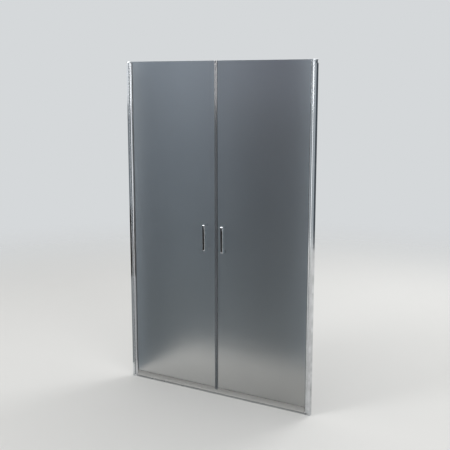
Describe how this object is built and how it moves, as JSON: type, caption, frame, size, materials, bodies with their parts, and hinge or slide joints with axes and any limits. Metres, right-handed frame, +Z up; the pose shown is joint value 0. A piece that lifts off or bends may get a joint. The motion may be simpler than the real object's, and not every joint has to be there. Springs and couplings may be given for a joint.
{
  "type": "saloon shower door",
  "caption": "Swinging shower door for a niche: paired frosted-glass leaves on chromed pivot stiles, with wall profiles, meeting and bottom seals, a sill strip and D handles.",
  "frame": {"origin": "middle of the door on the shower tray: centre of the underside of the sill strip, in the middle plane of the glass", "axes": "+X along the door from the left leaf to the right leaf as seen from outside, +Y into the shower, +Z up"},
  "size_m": [1.22, 0.0614, 1.95],
  "materials": {
    "chromed_aluminium": "polished",
    "chromed_zinc": "polished",
    "chromed_abs": "polished",
    "stainless_steel": "satin",
    "nylon": "satin",
    "grey_nylon": "satin",
    "grey_gasket": "matte",
    "frosted_glass": "satin",
    "grey_pvc_seal": "satin",
    "clear_pvc_seal": "satin",
    "ferrite_rubber": "matte"
  },
  "bodies": {
    "frame": {"wall_profile_left": "chromed_aluminium", "wall_profile_right": "chromed_aluminium", "hinge_post_left": "chromed_aluminium", "hinge_post_right": "chromed_aluminium", "lock_screws_left": "stainless_steel", "lock_screws_right": "stainless_steel", "lock_screw_caps_left": "chromed_abs", "lock_screw_caps_right": "chromed_abs", "head_bracket_left": "chromed_zinc", "head_bracket_right": "chromed_zinc", "foot_bracket_left": "chromed_zinc", "foot_bracket_right": "chromed_zinc", "bracket_screws_left": "stainless_steel", "bracket_screws_right": "stainless_steel", "pivot_bushes_left": "nylon", "pivot_bushes_right": "nylon", "sill_strip": "chromed_aluminium", "sill_end_caps": "grey_nylon"},
    "leaf_left": {"pivot_stile_left": "chromed_aluminium", "pivot_end_caps_left": "grey_nylon", "pivot_pins_left": "stainless_steel", "glazing_gasket_left": "grey_gasket", "glass_pane_left": "frosted_glass", "meeting_seal_left": "grey_pvc_seal", "magnet_strip_left": "ferrite_rubber", "bottom_seal_left": "clear_pvc_seal", "handle_left": "chromed_zinc", "handle_bushes_left": "nylon", "handle_screws_left": "stainless_steel", "handle_rosettes_left": "chromed_zinc"},
    "leaf_right": {"pivot_stile_right": "chromed_aluminium", "pivot_end_caps_right": "grey_nylon", "pivot_pins_right": "stainless_steel", "glazing_gasket_right": "grey_gasket", "glass_pane_right": "frosted_glass", "meeting_seal_right": "grey_pvc_seal", "magnet_strip_right": "ferrite_rubber", "bottom_seal_right": "clear_pvc_seal", "handle_right": "chromed_zinc", "handle_bushes_right": "nylon", "handle_screws_right": "stainless_steel", "handle_rosettes_right": "chromed_zinc"}
  },
  "joints": [
    {"name": "left_leaf_hinge", "type": "hinge", "parent": "frame", "child": "leaf_left", "pos_m": [-0.5905, 0, 0], "axis": [0, 0, 1], "range_deg": [-90, 90]},
    {"name": "right_leaf_hinge", "type": "hinge", "parent": "frame", "child": "leaf_right", "pos_m": [0.5905, 0, 0], "axis": [0, 0, 1], "range_deg": [-90, 90]}
  ]
}
